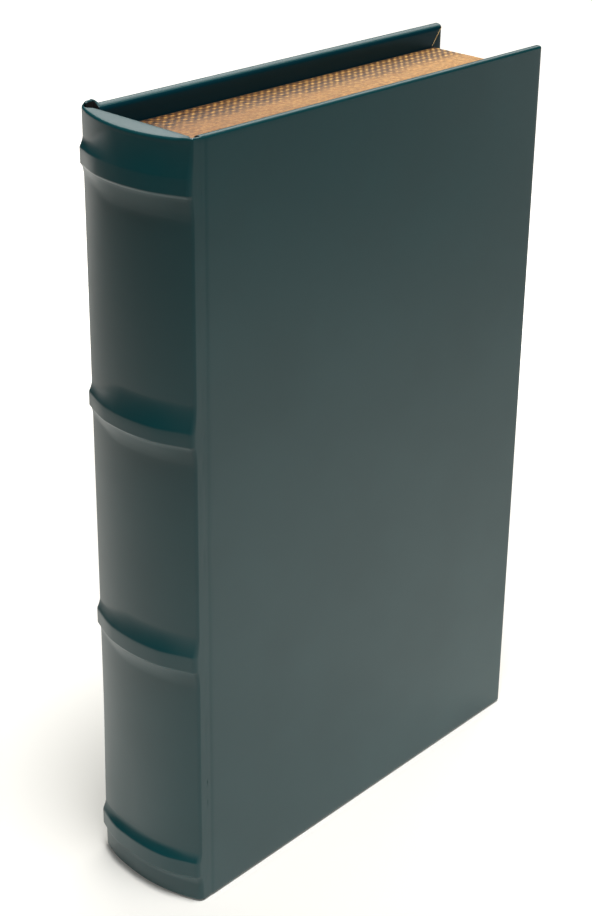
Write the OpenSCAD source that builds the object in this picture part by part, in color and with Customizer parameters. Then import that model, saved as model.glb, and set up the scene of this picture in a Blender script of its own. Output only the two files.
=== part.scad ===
// Journal bound in faux leather, standing upright, with a rounded spine and four raised bands.
// X runs from the spine to the fore-edge, Y from the front cover to the back cover and Z from tail to head.
// The origin is under the middle of the whole book, on the surface that it stands on.

/* [Book] */
// Height of the covers and the spine, from tail to head
book_height = 240; // [180:1:320]
// Depth of the covers, from the fold line beside the spine to the fore-edge
cover_depth = 149; // [110:1:220]
// Thickness of the closed book over both covers
book_thickness = 42.6; // [30:0.2:70]

/* [Covers] */
// Thickness of the stiff board inside each cover
board_thickness = 2.2; // [1.6:0.1:3.5]
// Thickness of the faux leather
leather_thickness = 0.5; // [0.3:0.05:0.7]
// Radius of the covered edges, outside
edge_radius = 0.9; // [0.8:0.05:1.2]
// Width of the bending joint strip, from the fold line to the board
joint_width = 3; // [2.6:0.1:6]
// How far the leather is turned in over the inside of the boards and the spine core
turn_in = 15; // [10:1:25]
// Thickness of the endpapers
endpaper_thickness = 0.2; // [0.1:0.05:0.4]
// How far the pastedowns stop short of the cover's head, tail and fore-edge
pastedown_margin = 8; // [4:0.5:9.5]

/* [Pages] */
// How far the covers stand past the pages at head and tail
head_square = 6.8; // [3:0.1:10]
// How far the covers stand past the pages at the fore-edge
fore_square = 4.5; // [2:0.1:8]

/* [Spine] */
// How far the rounded spine bulges past the fold lines
spine_bulge = 4.8; // [2.5:0.1:9]
// How far the flat inner side of the spine lies inside the fold lines
spine_inset = 1.8; // [1.6:0.1:2.2]

/* [Raised bands] */
// How far the bands stand out of the spine
band_rise = 1.9; // [1:0.1:3]
// Height of each band under its leather
band_height = 4.4; // [3:0.1:6]
// Radius of the bands' long edges under the leather
band_radius = 0.6; // [0.4:0.05:0.9]
// Radius in plan of the bands' ends under the leather
band_end_radius = 1.1; // [0.6:0.1:2]
// How far the bands stop short of the cover faces, under the leather
band_end_gap = 1.1; // [0.9:0.1:3]
// Radius of the hollow where the leather runs from the spine up onto a band
band_cove = 0.8; // [0.3:0.1:1.2]
// Thickness of the card strip that lies right across the spine core under each band
strip_rise = 0.1; // [0.05:0.05:0.3]
// How far that strip reaches past the hollows above and below the band
strip_margin = 0.8; // [0.4:0.1:2]
// Distance from the head to the middle of the top band
head_band_inset = 12.7; // [9:0.1:25]
// Distance from the tail to the middle of the bottom band
tail_band_inset = 11.9; // [9:0.1:25]
// How far the two middle bands sit above an even spacing
middle_band_lift = 1; // [-4:0.1:4]

/* [Fit] */
// Gap between pieces that move past each other
running_gap = 0.2; // [0.1:0.05:0.4]

/* [Hidden] */
$fn = 96;

// Colours
leather_color = "#2c4346";
page_color = "#b88a52";
endpaper_color = "#15201f";
board_color = "#8d8a82";
lining_color = "#d8d2c2";

// A length that reaches right through whatever it cuts
through = 2 * (book_height + cover_depth + book_thickness);
// Outside of the shell of leather round a board
shell_thickness = board_thickness + 2 * leather_thickness;
// Face of the board that looks at the pages
board_inner_face = leather_thickness + board_thickness;
// Depth of the shell and its pastedown, and the first face behind it that doesn't move
cover_thickness = shell_thickness + endpaper_thickness;
flyleaf_face = cover_thickness + running_gap;
pages_face = flyleaf_face + endpaper_thickness;
// Core edges are rounded so that the leather keeps its thickness round them
core_radius = edge_radius - leather_thickness;

// The hinge of each cover is the upright line in the middle of its joint strip
hinge_x = joint_width / 2;
strip_start = hinge_x + running_gap / 2;
spine_side_end = hinge_x - running_gap / 2;

// The spine is an arc through both fold lines, struck round this upright axis
spine_radius = (pow(book_thickness / 2, 2) + pow(spine_bulge, 2)) / (2 * spine_bulge);
spine_axis_x = spine_radius - spine_bulge;
former_radius = spine_radius - leather_thickness;
former_face = spine_inset - leather_thickness;
strip_radius = former_radius + strip_rise;
strip_height = band_height + 2 * (band_cove + strip_margin);
// Where the strips, and the leather round them and the bands, start: a little inside the core
sunk_foot = former_radius - 1;

pages_start = spine_inset;
pages_end = cover_depth - fore_square;
pages_top = book_height - head_square;

// Middles of the bands, counted from the tail
bands_bottom = tail_band_inset;
bands_top = book_height - head_band_inset;
band_step = (bands_top - bands_bottom) / 3;
band_middles = [
    bands_bottom,
    bands_bottom + band_step + middle_band_lift,
    bands_bottom + 2 * band_step + middle_band_lift,
    bands_top
];

// From the fold line of the front cover to the middle of the whole book
middle_x = (cover_depth - spine_bulge - band_rise) / 2;
middle_y = book_thickness / 2;

// Puts what is drawn from the front fold line into the frame of the whole book
module in_book_frame() {
    translate([-middle_x, -middle_y, 0]) children();
}

// Draws the front cover's piece on the back cover
module on_back_cover() {
    translate([0, book_thickness, 0]) mirror([0, 1, 0]) children();
}

module rounded_rectangle(width, height, radius) {
    translate([radius, 0]) square([width - 2 * radius, height]);
    translate([0, radius]) square([width, height - 2 * radius]);
    for (x = [radius, width - radius]) {
        for (y = [radius, height - radius]) {
            translate([x, y]) circle(radius);
        }
    }
}

// A block between two corners, with every edge rounded
module rounded_block(low, high, radius) {
    size = high - low;
    translate(low) intersection() {
        linear_extrude(size.z) rounded_rectangle(size.x, size.y, radius);
        translate([0, size.y, 0]) rotate([90, 0, 0])
            linear_extrude(size.y) rounded_rectangle(size.x, size.z, radius);
        rotate([90, 0, 90]) linear_extrude(size.x) rounded_rectangle(size.y, size.z, radius);
    }
}

// A plain block between two corners
module block(low, high) {
    translate(low) cube(high - low);
}

// The rounded spine's D-shaped section from tail to head, set in by some depth on every side
module spine_solid(inset, radius) {
    height = book_height - 2 * inset;
    width = book_thickness - 2 * inset;
    intersection() {
        translate([spine_axis_x, middle_y, inset]) rotate_extrude() intersection() {
            translate([-through, 0]) rounded_rectangle(through + spine_radius - inset, height, radius);
            square(through);
        }
        translate([-through, inset, inset]) rotate([90, 0, 90])
            linear_extrude(2 * through) rounded_rectangle(width, height, radius);
        translate([-through, book_thickness, inset]) rotate([90, 0, 0])
            linear_extrude(book_thickness) rounded_rectangle(through + spine_inset - inset, height, radius);
    }
}

// The card strip right across the spine under a band, grown by some depth on every side
module band_strip(middle, grow) {
    height = strip_height + 2 * grow;
    side_y = leather_thickness - grow;
    intersection() {
        translate([spine_axis_x, middle_y, middle - height / 2]) rotate_extrude()
            translate([sunk_foot, 0]) square([strip_radius + grow - sunk_foot, height]);
        block([-through, side_y, 0], [former_face, book_thickness - side_y, book_height]);
    }
}

// The spine's core with its card strips, grown to the outside of the leather if the inset is nothing
module stripped_spine(inset, radius) {
    spine_solid(inset, radius);
    for (middle = band_middles) {
        band_strip(middle, leather_thickness - inset);
    }
}

// Section of a band's ring round the spine: a bar with rounded long edges, and a cove on both sides if it has one
// The coves run out on the leather over the card strip
module band_section(foot, outer_radius, height, radius, cove) {
    intersection() {
        translate([foot - 2 * radius, -height / 2])
            rounded_rectangle(outer_radius - foot + 2 * radius, height, radius);
        translate([foot, -height / 2]) square([outer_radius - foot, height]);
    }
    if (cove > 0) {
        for (side = [0, 1]) {
            mirror([0, side]) difference() {
                translate([foot, 0])
                    square([strip_radius + leather_thickness + cove - foot, height / 2 + cove]);
                translate([strip_radius + leather_thickness + cove, height / 2 + cove]) circle(cove);
            }
        }
    }
}

// Plan of a band's ends: straight across the spine, with round corners that stop short of the cover faces
module band_plan(outer_radius, end_gap, end_radius) {
    corner_y = middle_y - end_gap - end_radius;
    corner_x = spine_axis_x - sqrt(pow(outer_radius, 2) - pow(corner_y, 2)) + end_radius;
    translate([-through / 2, middle_y - corner_y]) square([through, 2 * corner_y]);
    translate([corner_x, end_gap]) square([through, book_thickness - 2 * end_gap]);
    for (side = [-1, 1]) {
        translate([corner_x, middle_y + side * corner_y]) circle(end_radius);
    }
}

// A band across the spine at some height, from a foot radius outwards, grown by some depth on every other side
module band_solid(middle, foot, grow, cove) {
    outer_radius = former_radius + band_rise + grow;
    intersection() {
        translate([spine_axis_x, middle_y, middle]) rotate_extrude()
            band_section(foot, outer_radius, band_height + 2 * grow, band_radius + grow, cove);
        translate([0, 0, middle - band_height - cove]) linear_extrude(2 * (band_height + cove))
            band_plan(outer_radius, band_end_gap - grow, band_end_radius + grow);
        translate([-through, 0, 0]) cube([through + former_face, book_thickness, book_height]);
    }
}

module text_block() {
    color(page_color) in_book_frame()
        block([pages_start, pages_face, head_square], [pages_end, book_thickness - pages_face, pages_top]);
}

module front_flyleaf() {
    color(endpaper_color) in_book_frame()
        block([pages_start, flyleaf_face, head_square], [pages_end, pages_face, pages_top]);
}

module back_flyleaf() {
    color(endpaper_color) in_book_frame() on_back_cover()
        block([pages_start, flyleaf_face, head_square], [pages_end, pages_face, pages_top]);
}

// Fills the space between the spine core and the pages that the turned-in leather leaves
module spine_lining() {
    color(lining_color) in_book_frame()
        block([former_face, pages_face, turn_in], [pages_start, book_thickness - pages_face, book_height - turn_in]);
}

module spine_former() {
    color(board_color) in_book_frame() stripped_spine(leather_thickness, core_radius);
}

module raised_band(middle) {
    color(board_color) in_book_frame() band_solid(middle, strip_radius, 0, 0);
}

module spine_leather() {
    color(leather_color) in_book_frame() difference() {
        union() {
            stripped_spine(0, edge_radius);
            for (middle = band_middles) {
                band_solid(middle, sunk_foot, leather_thickness, band_cove);
            }
        }
        stripped_spine(leather_thickness, core_radius);
        for (middle = band_middles) {
            band_solid(middle, sunk_foot, 0, 0);
        }
        block(
            [former_face, leather_thickness, turn_in],
            [spine_inset + 1, book_thickness - leather_thickness, book_height - turn_in]
        );
        for (side = [0, 1]) {
            translate([0, side * book_thickness, 0]) mirror([0, side, 0])
                block([spine_side_end, -1, -1], [spine_inset + 1, leather_thickness, book_height + 1]);
        }
    }
}

// Outside of a cover: the board's covered slab, and the thin joint strip beside it
module cover_outside() {
    difference() {
        rounded_block([-through, 0, 0], [cover_depth, shell_thickness, book_height], edge_radius);
        block([-through - 1, -1, -1], [strip_start, shell_thickness + 1, book_height + 1]);
        block([-through - 1, leather_thickness, -1], [joint_width, shell_thickness + 1, book_height + 1]);
    }
}

module cover_board() {
    intersection() {
        rounded_block(
            [-through, leather_thickness, leather_thickness],
            [cover_depth - leather_thickness, board_inner_face, book_height - leather_thickness],
            core_radius
        );
        block([joint_width, 0, 0], [cover_depth, shell_thickness, book_height]);
    }
}

module cover_leather() {
    difference() {
        cover_outside();
        cover_board();
        block(
            [strip_start, board_inner_face, turn_in],
            [cover_depth - turn_in, shell_thickness + 1, book_height - turn_in]
        );
    }
}

// The paper lies on the board in the middle and steps up onto the turned-in leather round it
module pastedown() {
    difference() {
        union() {
            block(
                [joint_width, shell_thickness, pastedown_margin],
                [cover_depth - pastedown_margin, cover_thickness, book_height - pastedown_margin]
            );
            block(
                [joint_width, board_inner_face, turn_in],
                [cover_depth - turn_in, cover_thickness, book_height - turn_in]
            );
        }
        block(
            [joint_width - 1, board_inner_face + endpaper_thickness, turn_in + endpaper_thickness],
            [cover_depth - turn_in - endpaper_thickness, cover_thickness + 1,
                book_height - turn_in - endpaper_thickness]
        );
    }
}

module front_board() {
    color(board_color) in_book_frame() cover_board();
}

module front_cover_leather() {
    color(leather_color) in_book_frame() cover_leather();
}

module front_pastedown() {
    color(endpaper_color) in_book_frame() pastedown();
}

module back_board() {
    color(board_color) in_book_frame() on_back_cover() cover_board();
}

module back_cover_leather() {
    color(leather_color) in_book_frame() on_back_cover() cover_leather();
}

module back_pastedown() {
    color(endpaper_color) in_book_frame() on_back_cover() pastedown();
}

text_block();
front_flyleaf();
back_flyleaf();
spine_lining();
spine_former();
raised_band(band_middles[0]);  // raised_band_1
raised_band(band_middles[1]);  // raised_band_2
raised_band(band_middles[2]);  // raised_band_3
raised_band(band_middles[3]);  // raised_band_4
spine_leather();
front_board();
front_cover_leather();
front_pastedown();
back_board();
back_cover_leather();
back_pastedown();
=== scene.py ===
import math

import bmesh
import bpy
import numpy as np
from mathutils import Matrix, Vector


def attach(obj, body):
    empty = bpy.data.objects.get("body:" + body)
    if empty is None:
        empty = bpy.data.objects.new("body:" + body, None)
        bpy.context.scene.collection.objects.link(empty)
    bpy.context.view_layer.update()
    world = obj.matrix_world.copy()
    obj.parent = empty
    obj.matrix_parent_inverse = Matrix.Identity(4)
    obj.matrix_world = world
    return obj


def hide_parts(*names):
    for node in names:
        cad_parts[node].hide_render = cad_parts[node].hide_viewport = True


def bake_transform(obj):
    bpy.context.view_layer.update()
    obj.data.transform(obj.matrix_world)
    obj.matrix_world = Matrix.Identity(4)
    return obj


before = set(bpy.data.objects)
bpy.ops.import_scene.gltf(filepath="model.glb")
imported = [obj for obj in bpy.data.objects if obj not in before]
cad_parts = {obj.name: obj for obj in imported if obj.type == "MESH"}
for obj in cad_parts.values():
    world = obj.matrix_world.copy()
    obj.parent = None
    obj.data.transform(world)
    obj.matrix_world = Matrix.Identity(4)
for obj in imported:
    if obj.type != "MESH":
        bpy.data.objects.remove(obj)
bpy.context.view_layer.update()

# Sizes in mm, from the front cover's fold line: x to the fore-edge, y to the back cover, z up
HEIGHT = 240.0
DEPTH = 149.0
THICK = 42.6
ORIGIN = np.array([71.15, 21.3, 0.0])
MID = THICK / 2
# How far the spine bulges, and the radius and the axis of its arc
BULGE = 4.8
RADIUS = (MID ** 2 + BULGE ** 2) / (2 * BULGE)
AXIS_X = RADIUS - BULGE
# The back of the pages
INSET = 1.8
# Thickness of the leather and of a whole cover, and width of the leather turned in
SKIN = 0.46
SHELL = 3.2
TURN_IN = 15.0
# How far inside the covers the pages end, at head and tail and at the fore-edge
HEAD_SQUARE = 6.8
FORE_SQUARE = 4.5
# Where the first leaf starts
PAGES_FACE = 3.8
# Radii of the leather's rounding over a cover's edge, inside and outside
EDGE_IN = 1.9
EDGE_OUT = 0.9
# Where the bending strips and the covers start
STRIP_START = 0.95
COVER_START = 3.0
# How deep the boards and the spine's core lie under the outside
BOARD_IN = 0.52


def in_frame(points):
    """From mm beside the fold line to the shared frame in metres."""
    return (np.asarray(points, float) - ORIGIN) / 1000


def on_back(points):
    """The same points on the back cover."""
    points = np.array(points, float)
    points[..., 1] = THICK - points[..., 1]
    return points


def smooth(t):
    """From 0 to 1 with soft ends."""
    t = np.clip(t, 0, 1)
    return t * t * (3 - 2 * t)


def noise_1d(x, seed, period):
    """Smooth random values from -1 to 1 along a line."""
    rng = np.random.default_rng(seed)
    values = rng.uniform(-1, 1, 512)
    u = np.asarray(x, float) / period + 100
    i = np.floor(u).astype(int)
    f = smooth(u - i)
    return values[i % 512] * (1 - f) + values[(i + 1) % 512] * f


def noise_2d(x, y, seed, period):
    """Smooth random values from -1 to 1 over a plane."""
    rng = np.random.default_rng(seed)
    values = rng.uniform(-1, 1, (128, 128))
    u = np.asarray(x, float) / period + 40
    v = np.asarray(y, float) / period + 40
    i, j = np.floor(u).astype(int), np.floor(v).astype(int)
    f, g = smooth(u - i), smooth(v - j)
    i0, i1, j0, j1 = i % 128, (i + 1) % 128, j % 128, (j + 1) % 128
    return ((values[i0, j0] * (1 - f) + values[i1, j0] * f) * (1 - g)
            + (values[i0, j1] * (1 - f) + values[i1, j1] * f) * g)


def make_object(name, points, faces, material, shade=True, merge=0.002):
    """A mesh in the scene from points in mm, with points that meet merged."""
    mesh = bpy.data.meshes.new(name)
    mesh.from_pydata(in_frame(points).tolist(), [], [list(map(int, f)) for f in faces])
    mesh.update()
    obj = bpy.data.objects.new(name, mesh)
    bpy.context.scene.collection.objects.link(obj)
    bm = bmesh.new()
    bm.from_mesh(mesh)
    if merge:
        bmesh.ops.remove_doubles(bm, verts=bm.verts, dist=merge / 1000)
        bmesh.ops.dissolve_degenerate(bm, edges=bm.edges, dist=1e-7)
    bmesh.ops.recalc_face_normals(bm, faces=bm.faces)
    bm.to_mesh(mesh)
    bm.free()
    for p in mesh.polygons:
        p.use_smooth = shade
    if shade:
        mesh.set_sharp_from_angle(angle=math.radians(48))
    mesh.materials.append(material)
    return obj


def grid_faces(rows, columns, start=0, flip=False):
    """Faces between neighbours in a grid of points."""
    faces = []
    for i in range(rows - 1):
        for j in range(columns - 1):
            a = start + i * columns + j
            b = start + (i + 1) * columns + j
            f = [a, b, b + 1, a + 1]
            faces.append(f[::-1] if flip else f)
    return faces


def ring_faces(rows, n):
    """Faces between closed rings of n points."""
    return [[i * n + j, i * n + (j + 1) % n, (i + 1) * n + (j + 1) % n, (i + 1) * n + j]
            for i in range(rows - 1) for j in range(n)]


def closed_tube(rows, n):
    """Faces between closed rings of n points, and over the first and the last ring."""
    return ring_faces(rows, n) + [list(range(n)), [(rows - 1) * n + j for j in range(n)][::-1]]


def shell(outer, inner, last_row=True):
    """A closed skin between two grids of points, with strips round its open edges."""
    rows, columns = outer.shape[:2]
    n = rows * columns
    points = np.concatenate([outer.reshape(-1, 3), inner.reshape(-1, 3)])
    faces = grid_faces(rows, columns) + grid_faces(rows, columns, n, True)
    for i in range(rows - 1):
        for j, flip in ((0, False), (columns - 1, True)):
            a, b = i * columns + j, (i + 1) * columns + j
            f = [a, a + n, b + n, b]
            faces.append(f[::-1] if flip else f)
    for j in range(columns - 1):
        for i, flip in ((0, True), (rows - 1, False))[:2 if last_row else 1]:
            a, b = i * columns + j, i * columns + j + 1
            f = [a, a + n, b + n, b]
            faces.append(f[::-1] if flip else f)
    return points, faces


# Materials
def new_material(name):
    material = bpy.data.materials.new(name)
    material.use_nodes = True
    tree = material.node_tree
    return material, tree, tree.nodes["Principled BSDF"]


def node(tree, kind, inputs=(), **props):
    """A new node with its settings, and a value or a link for each input."""
    n = tree.nodes.new(kind)
    for k, v in props.items():
        setattr(n, k, v)
    for k, v in dict(inputs).items():
        if isinstance(v, bpy.types.NodeSocket):
            tree.links.new(v, n.inputs[k])
        else:
            n.inputs[k].default_value = v
    return n


def vector_maths(tree, operation, first, second):
    return node(tree, "ShaderNodeVectorMath", {0: first, 1: second}, operation=operation)


def maths(tree, operation, first, second=0.0, third=0.0):
    n = node(tree, "ShaderNodeMath", {0: first, 1: second, 2: third}, operation=operation)
    return n.outputs[0]


def millimetres(tree):
    coords = tree.nodes.new("ShaderNodeTexCoord")
    return vector_maths(tree, "MULTIPLY", coords.outputs["Object"], (1000, 1000, 1000)).outputs[0]


def noise(tree, at, scale, detail, roughness=0.5):
    settings = {"Vector": at, "Scale": scale, "Detail": detail, "Roughness": roughness}
    return node(tree, "ShaderNodeTexNoise", settings).outputs[0]


def mix_colours(tree, share, first, second, blend="MIX"):
    n = node(tree, "ShaderNodeMix", {0: share, 6: first, 7: second}, data_type="RGBA", blend_type=blend)
    return n.outputs[2]


def ramp(tree, value, stops):
    """Colours for a value, between stops."""
    r = node(tree, "ShaderNodeValToRGB", {0: value})
    while len(r.color_ramp.elements) < len(stops):
        r.color_ramp.elements.new(0.5)
    for e, (position, colour) in zip(r.color_ramp.elements, stops):
        e.position = position
        e.color = colour if len(colour) == 4 else (*colour, 1)
    return r.outputs[0]


def grey(v):
    return (v, v, v, 1)


def leather_material(name, low, high):
    """Leather whose colour and roughness change a little in broad patches."""
    material, tree, bsdf = new_material(name)
    at = millimetres(tree)
    fine = noise(tree, at, 2.6, 3.0, 0.6)
    broad = noise(tree, at, 0.03, 3.0, 0.55)
    bump = node(tree, "ShaderNodeBump", {"Height": fine, "Strength": 0.1, "Distance": 0.00004})
    colour = ramp(tree, broad, ((0.3, low), (0.7, high)))
    rough = ramp(tree, broad, ((0.3, grey(0.36)), (0.7, grey(0.31))))
    tree.links.new(colour, bsdf.inputs["Base Color"])
    tree.links.new(rough, bsdf.inputs["Roughness"])
    tree.links.new(bump.outputs[0], bsdf.inputs["Normal"])
    return material


def plain_material(name, colour, roughness):
    material, tree, bsdf = new_material(name)
    fine = noise(tree, millimetres(tree), 1.5, 4.0)
    low = tuple(c * 0.85 for c in colour)
    high = tuple(min(1, c * 1.15) for c in colour)
    tree.links.new(ramp(tree, fine, ((0.3, low), (0.7, high))), bsdf.inputs["Base Color"])
    bsdf.inputs["Roughness"].default_value = roughness
    return material


# Half the pitch of the dots on the page edges, along and across the leaves
DOTS_ALONG = 1.35
DOTS_ACROSS = 1.25
PAGE_BROWNS = ((0.3, (0.33, 0.15, 0.04)), (0.5, (0.45, 0.23, 0.07)), (0.7, (0.58, 0.34, 0.125)))
# Colours of the dots, darker than the plain browns: a real dot print, with painted shade beside the back
# cover in it
PAGE_DOTS_AND_SHADE = (
    (0.15, (0.03, 0.011, 0.002)),
    (0.42, (0.125, 0.053, 0.012)),
    (0.62, (0.29, 0.14, 0.035)),
    (0.85, (0.72, 0.46, 0.16)),
)
# Tint of the page edges from the spine to the fore-edge
PAGE_TONES = ((0.0, (0.57, 0.45, 0.3)), (0.5, (0.8, 0.73, 0.54)), (1.0, (1.0, 0.96, 0.8)))


def page_dots_and_shade(tree, at, x, y, z, speck):
    """Rows of brown and gold dots on the page edges, in colours dark enough to be partly painted shade
    beside the back cover.
    """
    shift = maths(tree, "MULTIPLY_ADD", noise(tree, at, 0.35, 2.0), 5.0, -2.5)
    along = maths(tree, "ADD", maths(tree, "ADD", x, z), maths(tree, "MULTIPLY", shift, 0.4))
    across = maths(tree, "ADD", y, maths(tree, "MULTIPLY", shift, 0.3))
    wave_a = maths(tree, "SINE", maths(tree, "MULTIPLY", along, math.pi / DOTS_ALONG))
    wave_b = maths(tree, "SINE", maths(tree, "MULTIPLY", across, math.pi / DOTS_ACROSS))
    checks = maths(tree, "MULTIPLY", wave_a, wave_b)
    rows = maths(tree, "MULTIPLY_ADD", wave_b, 0.12, 0.13)
    even = maths(tree, "MULTIPLY_ADD", checks, 0.32, rows)
    return ramp(tree, maths(tree, "MULTIPLY_ADD", speck, 0.7, even), PAGE_DOTS_AND_SHADE)


def page_material():
    """Coloured page edges: fine leaf streaks, and dots that fade from the back cover to the front; the
    dotted zone is also darker, partly painted shade beside the back cover.
    """
    material, tree, bsdf = new_material("page_edges")
    at = millimetres(tree)
    x, y, z = node(tree, "ShaderNodeSeparateXYZ", {0: at}).outputs
    speck = noise(tree, at, 1.1, 3.0, 0.65)
    place = maths(tree, "ADD", y, maths(tree, "MULTIPLY_ADD", noise(tree, at, 0.12, 2.0), 9.0, -4.5))
    # Share of the dots towards the back cover, which also paints the shade there
    fade = {0: place, 1: 2.0, 2: 10.5, 3: 0.06, 4: 1.0}
    share = node(tree, "ShaderNodeMapRange", fade, interpolation_type="SMOOTHSTEP").outputs[0]
    plain = ramp(tree, speck, PAGE_BROWNS)
    colour = mix_colours(tree, share, plain, page_dots_and_shade(tree, at, x, y, z, speck))
    stretched = vector_maths(tree, "MULTIPLY", at, (0.5, 1.1, 0.5)).outputs[0]
    streak = noise(tree, stretched, 1.0, 3.0, 0.6)
    lines = ramp(tree, streak, ((0.3, grey(0.74)), (0.7, grey(1.18))))
    colour = mix_colours(tree, 1.0, colour, lines, "MULTIPLY")
    depth = node(tree, "ShaderNodeMapRange", {0: x, 1: -70.0, 2: 73.0}).outputs[0]
    colour = mix_colours(tree, 1.0, colour, ramp(tree, depth, PAGE_TONES), "MULTIPLY")
    tree.links.new(colour, bsdf.inputs["Base Color"])
    bump = node(tree, "ShaderNodeBump", {"Height": streak, "Strength": 0.4, "Distance": 0.0001})
    tree.links.new(bump.outputs[0], bsdf.inputs["Normal"])
    bsdf.inputs["Roughness"].default_value = 0.55
    return material


LEATHER = leather_material("faux_leather", (0.003, 0.052, 0.059), (0.004, 0.06, 0.068))
# A darker, less shiny copy of the leather: painted shade for the covers' inner faces
LEATHER_PAINTED_SHADE = leather_material("faux_leather_painted_shade", (0.001, 0.025, 0.036), (0.0013, 0.029, 0.042))
LEATHER_PAINTED_SHADE.node_tree.nodes["Principled BSDF"].inputs["Specular IOR Level"].default_value = 0.15
PAGES = page_material()
ENDPAPER = plain_material("endpaper", (0.006, 0.012, 0.013), 0.6)
BOARD = plain_material("board", (0.02, 0.021, 0.02), 0.8)
LINING = plain_material("spine_lining", (0.7, 0.64, 0.52), 0.8)
# Near-black: painted shade inside the open pocket at the head of the back joint
POCKET = plain_material("pocket_painted_shade", (0.002, 0.003, 0.0035), 0.9)
THREADS = plain_material("threads", (0.6, 0.45, 0.22), 0.7)


# Spine
# Where the spine's flat sides start beside the joint, and how deep the joint lies under the outside
SIDE_END = 1.42
JOINT_DIP = 0.12
# Radius of the rounding beside the fold line, and the crease in degrees that it ends in
FOLD_RADIUS = 2.4
FOLD_CREASE = 38
# The same radius at the tail, and on the bands
TAIL_RADIUS = 2.1
BAND_RADIUS = 2.3
# How far the bands stand out
BAND_RISE = 1.88
# Lower and upper edge of each band's outer face, and how far the leather slopes above and below it
BAND_FACES = (
    (9.6, 14.6, 3.4, 3.4),
    (82.5, 87.2, 6.5, 6.0),
    (153.9, 157.9, 8.0, 6.5),
    (224.9, 229.3, 9.5, 8.0),
)
TOP_BAND = BAND_FACES[-1]
# Reach of the slopes at the back, and of the small step at each band's lower edge
BACK_SLOPE = 2.6
LIP = 1.1
# How much further out the back of the spine lies at the tail
FLARE = 0.7
# The open pocket at the head of the back joint: its sides, its lower end and its rim, which also bound the
# painted shade inside it
POCKET_X = (0.3, 4.0)
POCKET_Y = (39.3, 42.3)
POCKET_LOW = 226
POCKET_RIM = 239.35
# The hump of the leather over that pocket: its middle, reach and height
HUMP_MIDDLE = 2.6
HUMP_REACH = 2.1
HUMP_HEIGHT = 1.3


def spine_plan(inset, rise, corner, crease=0.0):
    """Plan of the spine's outside at some depth, from the front side's end round to the back side's end."""
    r = RADIUS + rise - inset
    y0 = inset + JOINT_DIP
    radius = max(corner - inset, 0.06)
    crease = math.radians(crease)
    cy = y0 + radius * math.cos(crease)
    cx = AXIS_X - math.sqrt((r - radius) ** 2 - (MID - cy) ** 2)
    direction = math.atan2(MID - cy, AXIS_X - cx)
    points = []
    fold = cx - radius * math.sin(crease)
    for t in np.linspace(0, 1, 5)[:-1]:
        x = SIDE_END + (fold - SIDE_END) * t
        points.append((x, y0, 0.0, -1.0))
    for a in np.linspace(-math.pi / 2 - crease, -(math.pi - direction), 12):
        points.append((cx + radius * math.cos(a), cy + radius * math.sin(a), math.cos(a), math.sin(a)))
    half = math.asin((MID - points[-1][1]) / r)
    arc = [(AXIS_X - r * math.cos(a), MID - r * math.sin(a), -math.cos(a), -math.sin(a))
           for a in np.linspace(half, -half, 62)[1:-1]]
    front = np.array(points)
    back = front[::-1].copy()
    back[:, 1] = THICK - back[:, 1]
    back[:, 3] = -back[:, 3]
    return np.concatenate([front, np.array(arc), back])


def band_taper(y):
    """The bands are a little flatter towards both joints."""
    return 1 - 0.34 * smooth((abs(y - MID) - 9) / 10)


def band_weight(y, z):
    """Share of the bands' rise at each place on the spine: crisp faces between concave slopes."""
    weight = np.zeros(np.broadcast(y, z).shape)
    back = smooth((y - 24) / 15)
    for face in BAND_FACES:
        low, high, above, below = face
        lean = (0.26 if face == TOP_BAND else 0.03) * (1 - back)
        above = above + (BACK_SLOPE - above) * back
        below = below + (BACK_SLOPE - below) * back * 0.7
        up = np.clip((z - high) / above, 0, 1)
        down = np.clip((low - z) / below, 0, 1)
        step = np.clip((low - z) / LIP, 0, 1)
        on_face = np.clip((z - low) / (high - low), 0, 1)
        slope_up = (1 - lean * on_face) * (1 - up) ** 1.5
        slope_down = 0.72 * (1 - down) ** 1.7 + 0.28 * (1 - smooth(step))
        weight = np.maximum(weight, np.minimum(slope_up, slope_down))
    return weight * band_taper(y)


def spine_outline(z, depth):
    """Outside of the spine at some height, bands included, and the normals of its plan."""
    tail = 1 - smooth(z / 14)
    body = spine_plan(depth, 0.0, FOLD_RADIUS, FOLD_CREASE)
    base = body * (1 - tail) + spine_plan(depth, 0.0, TAIL_RADIUS) * tail
    band = spine_plan(depth, BAND_RISE, BAND_RADIUS)
    w = band_weight(band[:, 1], np.full(len(band), z))[:, None]
    q = base[:, :2] + w * (band[:, :2] - base[:, :2])
    flare = smooth((60 - z) / 50) * smooth((q[:, 1] - 25) / 15)
    q[:, 0] -= FLARE * flare
    return q, base[:, 2:]


def hump(x):
    return HUMP_HEIGHT * np.exp(-((x - HUMP_MIDDLE) / HUMP_REACH) ** 4)


def head_hump(points):
    """The leather stands up a little over the open pocket of the back joint, at the head."""
    x, y, z = points[..., 0], points[..., 1], points[..., 2]
    points[..., 2] = z + hump(x) * smooth(y - 40.5) * smooth((z - 234) / 5)
    return points


def paint_pocket_shade(obj):
    """Painted shade: the inside of the open pocket at the head of the back joint gets a near-black material
    where shade falls.
    """
    mesh = obj.data
    mesh.materials.append(POCKET)
    for p in mesh.polygons:
        x, y, z = np.array(p.center) * 1000 + ORIGIN
        beside = POCKET_X[0] < x < POCKET_X[1] and POCKET_Y[0] < y < POCKET_Y[1]
        in_pocket = beside and POCKET_LOW < z < POCKET_RIM + hump(x)
        if in_pocket and p.normal[1] < 0.3 and p.normal[2] < 0.8:
            p.material_index = 1


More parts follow.
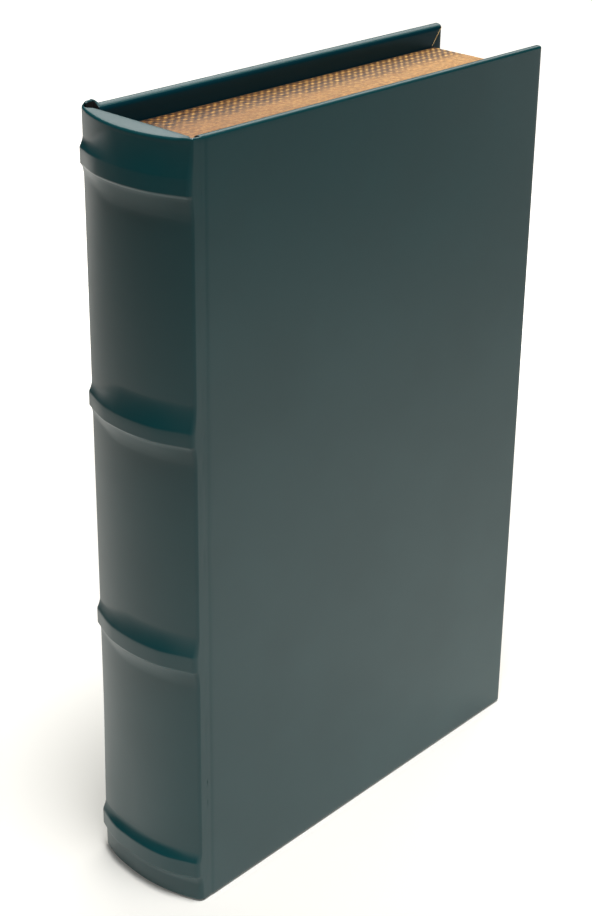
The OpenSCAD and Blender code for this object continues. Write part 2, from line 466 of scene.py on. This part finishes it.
def paint_inside_shade(obj, side):
    """Painted shade: the covers' inner faces, which no light reaches directly, get a darker, less shiny
    copy of the leather.
    """
    index = len(obj.data.materials)
    obj.data.materials.append(LEATHER_PAINTED_SHADE)
    for p in obj.data.polygons:
        inward = p.normal[1] * (1 if side == "front" else -1)
        if inward > 0.8 and p.material_index == 0:
            p.material_index = index


def chord(y, x_in):
    """Inner side of the spine's turned-in leather: straight, and cut off towards both joints."""
    end = np.where(y < MID, 2.6 - y, 3.6 - (THICK - y))
    return x_in - 0.45 * (end + np.sqrt(end ** 2 + 0.25))


def edge_radius(y, sign):
    """How far the spine's edge is rounded, at the head (1) and at the tail (-1)."""
    if sign < 0:
        return np.full_like(y, 1.0)
    return 0.54 + 0.12 * smooth((y - 1.5) / 5) * smooth((41.4 - y) / 2.5)


def cap_slope(x, y):
    """The turned-in leather at the head falls off a little towards the outside of the spine."""
    outside = AXIS_X - np.sqrt(RADIUS ** 2 - (y - MID) ** 2)
    t = np.clip((INSET - x) / np.maximum(INSET - outside, 0.5), 0, 1)
    return 0.12 * np.maximum(INSET - outside, 0) * t ** 1.6 * smooth((y - 1.0) / 4) * smooth((41.0 - y) / 3)


def spine_heights():
    """Heights of the spine skin's rows: even ones, and closer ones at the edges and round the bands."""
    zs = list(np.arange(0, HEIGHT + 1e-6, 2.0)) + list(np.arange(0.8, 2, 0.4))
    zs += list(np.arange(238, 239.3, 0.4))
    for low, high, above, below in BAND_FACES:
        zs += list(np.linspace(low - below, low - 1, 8)) + list(np.arange(low - 1, low + 0.21, 0.2))
        zs += list(np.arange(high - 0.2, high + 1.01, 0.3)) + list(np.linspace(high + 1, high + above, 12))
    zs = np.unique(np.round(np.clip(zs, 0.8, HEIGHT - 0.8), 3))
    return zs[np.concatenate([[True], np.diff(zs) > 0.09])]


def spine_cap(depth, sign):
    """Rows over the spine's edge and down the turned-in leather, at the head (1) or the tail (-1)."""
    r = edge_radius(spine_plan(depth, 0.0, FOLD_RADIUS, FOLD_CREASE)[:, 1], sign) - depth
    x_in = INSET - depth
    r_in = EDGE_OUT - depth
    z_edge = (HEIGHT - r - depth) if sign > 0 else r + depth
    start, normal = spine_outline(float(np.mean(z_edge)), depth)
    rows = []
    for a in np.linspace(0, math.pi / 2, 8)[1:]:
        q = start - normal * (r * (1 - math.cos(a)))[:, None]
        rows.append(np.column_stack([q, z_edge + sign * r * math.sin(a)]))
    x_out, y = (start - normal * r[:, None]).T
    top = z_edge + sign * r
    x_to = np.maximum(chord(y, x_in - r_in), x_out)
    for t in np.linspace(0, 1, 6)[1:]:
        rows.append(np.column_stack([x_out + (x_to - x_out) * t, y, top]))
    for a in np.linspace(0, math.pi / 2, 6)[1:]:
        x = np.maximum(chord(y, x_in - r_in * (1 - math.sin(a))), x_to)
        rows.append(np.column_stack([x, y, top - sign * r_in * (1 - math.cos(a))]))
    for t in np.linspace(0, 1, 5)[1:]:
        x = np.maximum(chord(y, x_in), x_to)
        rows.append(np.column_stack([x, y, top - sign * (r_in + (TURN_IN - 1) * t)]))
    return rows


def spine_rows(depth):
    """The spine skin at some depth, from the tail's turned-in leather up and over to the head's."""
    y = spine_plan(depth, 0.0, FOLD_RADIUS, FOLD_CREASE)[:, 1]
    body = []
    for z in spine_heights():
        heights = np.clip(np.full(len(y), z), edge_radius(y, -1), HEIGHT - edge_radius(y, 1))
        q, _ = spine_outline(z, depth)
        body.append(np.column_stack([q, heights]))
    rows = np.array(spine_cap(depth, -1)[::-1] + body + spine_cap(depth, 1))
    rows[..., 2] -= cap_slope(rows[..., 0], rows[..., 1]) * smooth((rows[..., 2] - 237) / 2.5)
    return head_hump(rows)


def spine_leather():
    points, faces = shell(spine_rows(0.0), spine_rows(SKIN))
    obj = make_object("spine_skin", points, faces, LEATHER)
    paint_pocket_shade(obj)
    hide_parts("spine_leather")
    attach(obj, "book_block")


def loft(name, rows, material, replaced, joint):
    """A solid between rings of points, closed at both ends."""
    n = len(rows[0])
    faces = ring_faces(len(rows), n)
    last = (len(rows) - 1) * n
    for i in range(n // 2 - 1):
        f = [i, i + 1, n - 2 - i, n - 1 - i]
        faces += [f, [last + v for v in f[::-1]]]
    obj = make_object(name, np.concatenate(rows), faces, material, False)
    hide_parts(replaced)
    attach(obj, joint)


def spine_core():
    """The spine's core, with its corners cut off where the joints' pockets are."""
    edge = ((0.5, 1.3), (0.9, 0.7), (1.9, 0.0))
    heights = edge + ((20, 0.0), (220, 0.0)) + tuple((HEIGHT - z, r) for z, r in edge[::-1])
    rows = []
    for z, r in heights:
        if z > 15:
            plan = spine_plan(BOARD_IN, 0.0, FOLD_RADIUS, FOLD_CREASE)
        else:
            plan = spine_plan(BOARD_IN, 0.0, TAIL_RADIUS)
        plan = plan[4:-4]
        q = plan[:, :2] - plan[:, 2:] * r
        x_end = np.maximum(chord(q[:, 1], INSET - BOARD_IN), q[:, 0] + 0.02)
        rows.append([(x, y, z) for x, y in q] + [(x, y, z) for x, y in zip(x_end[::-1], q[::-1, 1])])
    loft("spine_core", rows, BOARD, "spine_former", "book_block")


def band_core(index):
    """The stiff cord under a band's leather."""
    low, high, _, _ = BAND_FACES[index]
    foot, _ = spine_outline(HEIGHT / 2, 0.5)
    foot = foot[5:-5]
    rows = []
    for z, inner in ((low + 0.2, 0.75), (low + 0.5, 0.55), (high - 0.5, 0.55), (high - 0.2, 0.75)):
        q, normal = spine_outline(z, 0.0)
        q = q[5:-5] - normal[5:-5] * inner
        rows.append([(x, y, z) for x, y in q] + [(x, y, z) for x, y in foot[::-1]])
    number = str(index + 1)
    loft("band_core_" + number, rows, BOARD, "raised_band_" + number, "book_block")


# Covers
# Height and depth of each crease across the bending strips
WRINKLES = ((156.0, 0.10), (148.5, 0.07), (43.0, 0.12), (36.0, 0.09), (226.0, 0.05))


def wrinkles(x, z):
    """Small creases across the bending strip."""
    dent = 0 * (x + z)
    slant, width = 0.8, 0.7
    for middle, size in WRINKLES:
        dent = dent + size * np.exp(-((z - middle + slant * (x - 2)) / width) ** 2)
    return dent * smooth((x - 0.9) / 0.8) * smooth((4.6 - x) / 1.2)


def cover_path(inset):
    """Outline of a cover at some inset, along the tail, the fore-edge and the head."""
    corner = max(EDGE_OUT, inset)
    left = max(EDGE_OUT - inset, 0.0)
    reach = DEPTH - corner - COVER_START
    tail = [(x, inset) for x in COVER_START + reach * np.linspace(0, 1, 70) ** 1.9]
    low_corner = []
    for a in np.linspace(0, math.pi / 2, 7):
        low_corner.append((DEPTH - corner + left * math.sin(a), corner - left * math.cos(a)))
    side = [(DEPTH - inset, z) for z in np.linspace(corner, HEIGHT / 2, 36)]
    half = tail + low_corner[1:] + side[1:]
    other = [(x, HEIGHT - z) for x, z in half[::-1]][1:]
    return np.array(half + other)


def cover_profile(depth):
    """Inset from the outline and depth in the cover: from the window, over the edge, to the outside."""
    r_in, r_out = EDGE_IN - depth, EDGE_OUT - depth
    points = [(d, SHELL - depth) for d in (TURN_IN, 12, 9, 6, 3.5, 1.9)]
    for a in np.linspace(0, math.pi / 2, 8)[1:]:
        points.append((depth + r_in * (1 - math.sin(a)), SHELL - depth - r_in * (1 - math.cos(a))))
    for a in np.linspace(0, math.pi / 2, 8):
        points.append((depth + r_out * (1 - math.cos(a)), depth + r_out * (1 - math.sin(a))))
    points += [(d, depth) for d in (2, 4, 8, 14, 22, 32, 44, 58, 74, 92, 106, 120)]
    return points


def board_step(x):
    """The outside lies a little lower beside the joint and rises over the board's rounded edge."""
    return JOINT_DIP * (1 - smooth((x - 4.1) / 1.0))


def pocket(x, z):
    """Share of a cover's thickness that is left beside the back joint, at the head."""
    deepest, end = 0.7, 3.4
    open_share = smooth((z - POCKET_LOW) / 3) * (1 - smooth((x - end) / 0.7))
    return 1 - deepest * open_share


def cover_rows(depth):
    """The cover's leather at some depth, as rows from the window to the middle of the outside."""
    return np.array([[(x, y, z) for x, z in cover_path(inset)] for inset, y in cover_profile(depth)])


def cover_leather(name, side):
    outer, inner = cover_rows(0.0), cover_rows(SKIN)
    for skin in (outer, inner):
        x, z = skin[..., 0], skin[..., 2]
        if side == "back":
            skin[..., 1] *= pocket(x, z)
        skin[..., 1] += (board_step(x) + wrinkles(x, z)) * smooth(1 - skin[..., 1] / 2.2)
    if side == "back":
        outer, inner = head_hump(on_back(outer)), head_hump(on_back(inner))
    points, faces = shell(outer, inner, False)
    obj = make_object(name, points, faces, LEATHER)
    # Painted shade inside the back joint's pocket, and on the cover's inner faces below
    if side == "back":
        paint_pocket_shade(obj)
    paint_inside_shade(obj, side)
    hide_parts(side + "_cover_leather")
    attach(obj, side + "_cover")


def joint_strip(side):
    """The bending strip between the spine and a cover, hemmed at head and tail."""
    xs = np.linspace(STRIP_START, COVER_START + 0.08, 14)
    t = (xs - xs[0]) / (xs[-1] - xs[0])
    dip = JOINT_DIP + 0.004 * np.sin(math.pi * t)
    # Thickness of the hem, the bend of its edge, and its distance from the covers' ends
    hem = 0.94
    bend = hem / 2 - 0.02
    short = 0.1
    zs = np.linspace(bend + short, HEIGHT - bend - short, 200)
    rows = []
    for a in np.linspace(math.pi / 2, 0, 6)[:-1]:
        rows.append((zs[0] - bend * math.sin(a), bend * (1 - math.cos(a))))
    rows += [(z, 0.0) for z in zs]
    for a in np.linspace(0, math.pi / 2, 6)[1:]:
        rows.append((zs[-1] + bend * math.sin(a), bend * (1 - math.cos(a))))
    outer, inner = [], []
    for z, cut in rows:
        w = 0.03 * noise_2d(xs * 3, np.full_like(xs, z), 5, 7.0) * np.sin(math.pi * t) + wrinkles(xs, z)
        thick = SKIN + (hem - SKIN) * smooth((abs(z - HEIGHT / 2) - (HEIGHT / 2 - TURN_IN)) / 1.0)
        outer.append([(x, y + cut, z) for x, y in zip(xs, dip + w)])
        inner.append([(x, y + thick - cut, z) for x, y in zip(xs, dip + w)])
    outer, inner = np.array(outer), np.array(inner)
    if side == "back":
        outer, inner = head_hump(on_back(outer)), head_hump(on_back(inner))
    points, faces = shell(outer, inner)
    obj = make_object(side + "_joint", points, faces, LEATHER)
    if side == "back":
        paint_pocket_shade(obj)
    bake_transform(obj)


def board(side):
    """The stiff board in a cover, with its corner cut away beside the back joint's pocket."""
    low, high, end = BOARD_IN, HEIGHT - BOARD_IN, 148.46
    cut = 1.5 if side == "back" else 0.0
    outline = [(3.0, low + 0.4), (3.4, low), (148.0, low), (end, low + 0.46)]
    outline += [(end, high - 0.46), (148.0, high), (3.3 + cut, high), (3.0 + cut, high - 0.3)]
    if cut:
        outline += [(3.0 + cut, 228.0), (3.0, 225.0)]
    rows = []
    for y, r in ((BOARD_IN, 0.7), (0.8, 0.25), (1.2, 0.0), (1.8, 0.3), (2.3, 0.8), (2.66, 1.6)):
        rows.append([(min(x, end - r), y, min(max(z, low + r), high - r)) for x, z in outline])
    points = np.array(rows)
    if side == "back":
        points = on_back(points)
    faces = closed_tube(len(rows), len(outline))
    obj = make_object(side + "_board_core", points.reshape(-1, 3), faces, BOARD, False, 0)
    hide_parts(side + "_board")
    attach(obj, side + "_cover")


# Thickness of one ridge of the page block, and the number of ridges
LEAF = 0.35
LEAVES = 100


def page_block():
    """The leaves, each cut a little differently, as ridges round the block."""
    low, high, end = HEAD_SQUARE, HEIGHT - HEAD_SQUARE, DEPTH - FORE_SQUARE
    rng = np.random.default_rng(11)
    outline = [(INSET, low)] + [(x, low) for x in np.linspace(4, end - 0.3, 34)]
    outline += [(end, z) for z in np.linspace(low + 0.3, high - 0.3, 50)]
    outline += [(x, high) for x in np.linspace(end - 0.3, 4, 64)] + [(INSET, high)]
    outline = np.array(outline)
    z = outline[:, 1]
    out = np.zeros_like(outline)
    out[:, 0] = outline[:, 0] > end - 0.31
    out[:, 1] = np.sign(z - HEIGHT / 2) * ((z < low + 0.31) | (z > high - 0.31))
    out[[0, -1]] = 0
    rows = []
    drift = noise_1d(np.arange(LEAVES), 21, 9.0)
    for k in range(LEAVES):
        cut = 0.05 + 0.035 * drift[k] + rng.uniform(0, 0.03)
        wave = 0.02 * noise_1d(np.arange(len(outline)) * 1.0, 100 + k, 7.0)
        y = PAGES_FACE + k * LEAF
        for dy, gap in ((0.0, 0.025), (0.08, 0.0), (0.27, 0.0)):
            q = outline - out * (cut + gap + wave)[:, None]
            rows.append(np.column_stack([q[:, 0], np.full(len(q), y + dy), q[:, 1]]))
    q = outline - out * 0.06
    rows.append(np.column_stack([q[:, 0], np.full(len(q), PAGES_FACE + LEAVES * LEAF), q[:, 1]]))
    faces = closed_tube(len(rows), len(outline))
    obj = make_object("leaves", np.concatenate(rows), faces, PAGES, False, 0)
    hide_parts("text_block")
    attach(obj, "book_block")


def frayed_corner():
    """Pale threads where the leather is mitred, inside the head corner of the back cover."""
    rng = np.random.default_rng(5)
    points, faces = [], []
    # The mitre runs from the outer corner inwards and down
    count = 46
    outer_corner = np.array([147.9, 39.36, 239.1])
    mitre = np.array([4.3, 0.0, 5.4])
    for k in range(count):
        t = (k + rng.uniform(-0.4, 0.4)) / (count - 1)
        middle = outer_corner - mitre * t
        size = (0.55 - 0.35 * abs(t - 0.35)) * rng.uniform(0.5, 1.2)
        a = rng.uniform(0, math.pi)
        along = np.array([math.cos(a), 0, math.sin(a)]) * size
        across = np.array([-math.sin(a), 0, math.cos(a)]) * rng.uniform(0.06, 0.14)
        lift = np.array([0, -rng.uniform(0.05, 0.16), 0])
        start = len(points)
        points += [middle - along, middle + across, middle + along, middle - across, middle + lift]
        faces += [[start + i, start + (i + 1) % 4, start + 4] for i in range(4)]
        faces.append([start + 3, start + 2, start + 1, start])
    obj = make_object("frayed_threads", np.array(points), faces, THREADS, False, 0)
    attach(obj, "back_cover")


spine_core()
for index in range(4):
    band_core(index)
spine_leather()
page_block()
frayed_corner()
for side in ("front", "back"):
    board(side)
    cover_leather(side + "_cover_skin", side)
    joint_strip(side)

ENDPAPERS = ("front_flyleaf", "back_flyleaf", "front_pastedown", "back_pastedown")
for name in ENDPAPERS + ("spine_lining",):
    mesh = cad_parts[name].data
    mesh.materials.clear()
    mesh.materials.append(ENDPAPER if name in ENDPAPERS else LINING)


# Floor, backdrop, light and camera
def stage_plane(name, points, material):
    mesh = bpy.data.meshes.new(name)
    mesh.from_pydata([tuple(p) for p in points], [], [list(range(len(points)))])
    obj = bpy.data.objects.new(name, mesh)
    bpy.context.scene.collection.objects.link(obj)
    mesh.materials.append(material)


def floor_surface():
    """A pale floor that keeps the object's shadow, and that the camera sees as white further back."""
    # Distances behind the object in metres between which the glow rises, and the two glows
    near, far = 0.2, 0.42
    near_glow, far_glow = 0.13, 0.97
    material, tree, bsdf = new_material("floor")
    bsdf.inputs["Base Color"].default_value = (0.86, 0.845, 0.8, 1)
    bsdf.inputs["Roughness"].default_value = 0.95
    coords = tree.nodes.new("ShaderNodeTexCoord")
    behind = vector_maths(tree, "DOT_PRODUCT", coords.outputs["Object"], (0.773, 0.635, 0))
    values = {0: behind.outputs["Value"], 1: near, 2: far, 3: near_glow, 4: far_glow}
    rise = node(tree, "ShaderNodeMapRange", values, interpolation_type="SMOOTHSTEP")
    path = tree.nodes.new("ShaderNodeLightPath")
    seen = maths(tree, "MAXIMUM", path.outputs["Is Camera Ray"], path.outputs["Is Glossy Ray"])
    seen = maths(tree, "MAXIMUM", seen, path.outputs["Is Transmission Ray"])
    strength = maths(tree, "MULTIPLY", seen, rise.outputs[0])
    bsdf.inputs["Emission Color"].default_value = (1.0, 0.985, 0.94, 1)
    tree.links.new(strength, bsdf.inputs["Emission Strength"])
    return material


FLOOR_Z = -0.0002
corners = [(x, y, FLOOR_Z) for x, y in ((-3, -3), (3, -3), (3, 3), (-3, 3))]
stage_plane("floor", corners, floor_surface())

world = bpy.data.worlds.new("world")
bpy.context.scene.world = world
world.use_nodes = True
background = world.node_tree.nodes["Background"]
background.inputs[0].default_value = (0.9, 0.95, 1, 1)
background.inputs[1].default_value = 0.01


def aim(obj, location, target):
    """Put a lamp in the scene, turned to its target."""
    bpy.context.scene.collection.objects.link(obj)
    obj.location = location
    direction = Vector(location) - Vector(target)
    obj.rotation_mode = "QUATERNION"
    obj.rotation_quaternion = direction.to_track_quat("Z", "Y")


def area(name, location, target, size, power, colour):
    light = bpy.data.lights.new(name, "AREA")
    light.shape = "RECTANGLE"
    light.size, light.size_y = size
    light.energy = power
    light.color = colour
    aim(bpy.data.objects.new(name, light), location, target)


def spot(name, location, target, radius, angle, power):
    light = bpy.data.lights.new(name, "SPOT")
    light.shadow_soft_size = radius
    light.spot_size = math.radians(angle)
    light.spot_blend = 1.0
    light.energy = power
    aim(bpy.data.objects.new(name, light), location, target)


spot("key", location=(-0.14, -0.27, 1.6), target=(0.02, 0, 0), radius=0.27, angle=50, power=108)
area("back", location=(0.62, 0.42, 0.9), target=(0, 0, 0.22), size=(1.0, 0.75), power=6.6,
     colour=(1, 0.985, 0.95))

# Turn, tilt and roll of the camera that was fitted to the photo
turn, tilt, roll = math.radians(-50.611), math.radians(23.858), math.radians(2.13)
camera_at = (-0.37635, -0.3414, 0.3699)

scene = bpy.context.scene
scene.view_settings.view_transform = "Standard"
camera = bpy.data.cameras.new("camera")
camera_object = bpy.data.objects.new("camera", camera)
scene.collection.objects.link(camera_object)
scene.camera = camera_object
back = np.array([math.sin(turn) * math.cos(tilt), -math.cos(turn) * math.cos(tilt), math.sin(tilt)])
right = np.array([math.cos(turn), math.sin(turn), 0.0])
up = np.cross(back, right)
x_axis = math.cos(roll) * right + math.sin(roll) * up
y_axis = -math.sin(roll) * right + math.cos(roll) * up
axes = [(x_axis[i], y_axis[i], back[i], camera_at[i]) for i in range(3)]
camera_object.matrix_world = Matrix((*axes, (0, 0, 0, 1)))
camera.lens = 71.12
camera.sensor_width = 36
camera.shift_x = -0.1114
camera.shift_y = -0.0841
camera.clip_start = 0.01
camera.clip_end = 20
